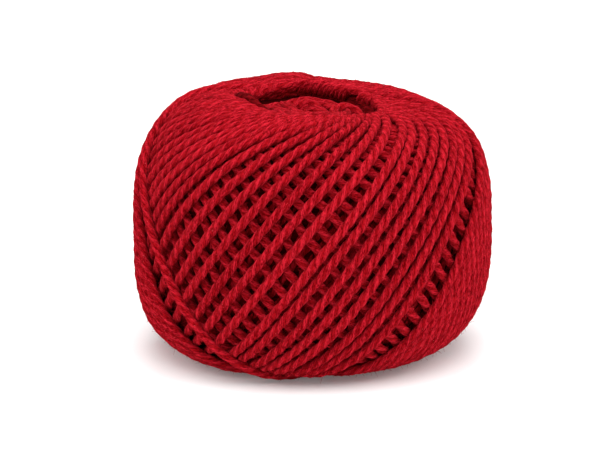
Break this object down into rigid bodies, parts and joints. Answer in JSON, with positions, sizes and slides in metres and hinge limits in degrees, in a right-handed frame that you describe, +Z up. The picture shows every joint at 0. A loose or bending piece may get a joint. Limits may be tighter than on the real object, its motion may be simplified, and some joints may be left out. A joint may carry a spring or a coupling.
{
  "type": "ball of macrame yarn",
  "caption": "Small barrel-shaped ball of twisted cotton cord, cross-wound round a spindle, with a hollow at the top and a flat foot.",
  "frame": {"origin": "on the surface that the ball stands on, under the middle of its bounding box", "axes": "+Z up along the winding axis, through the hollow at the top; -Y is the side that the picture shows"},
  "size_m": [0.0838, 0.0828, 0.0617],
  "materials": {
    "cotton_cord": "matt red cotton, three plies twisted together, slightly fuzzy"
  },
  "bodies": {
    "root": {"wound_cord": "cotton_cord"}
  },
  "joints": []
}
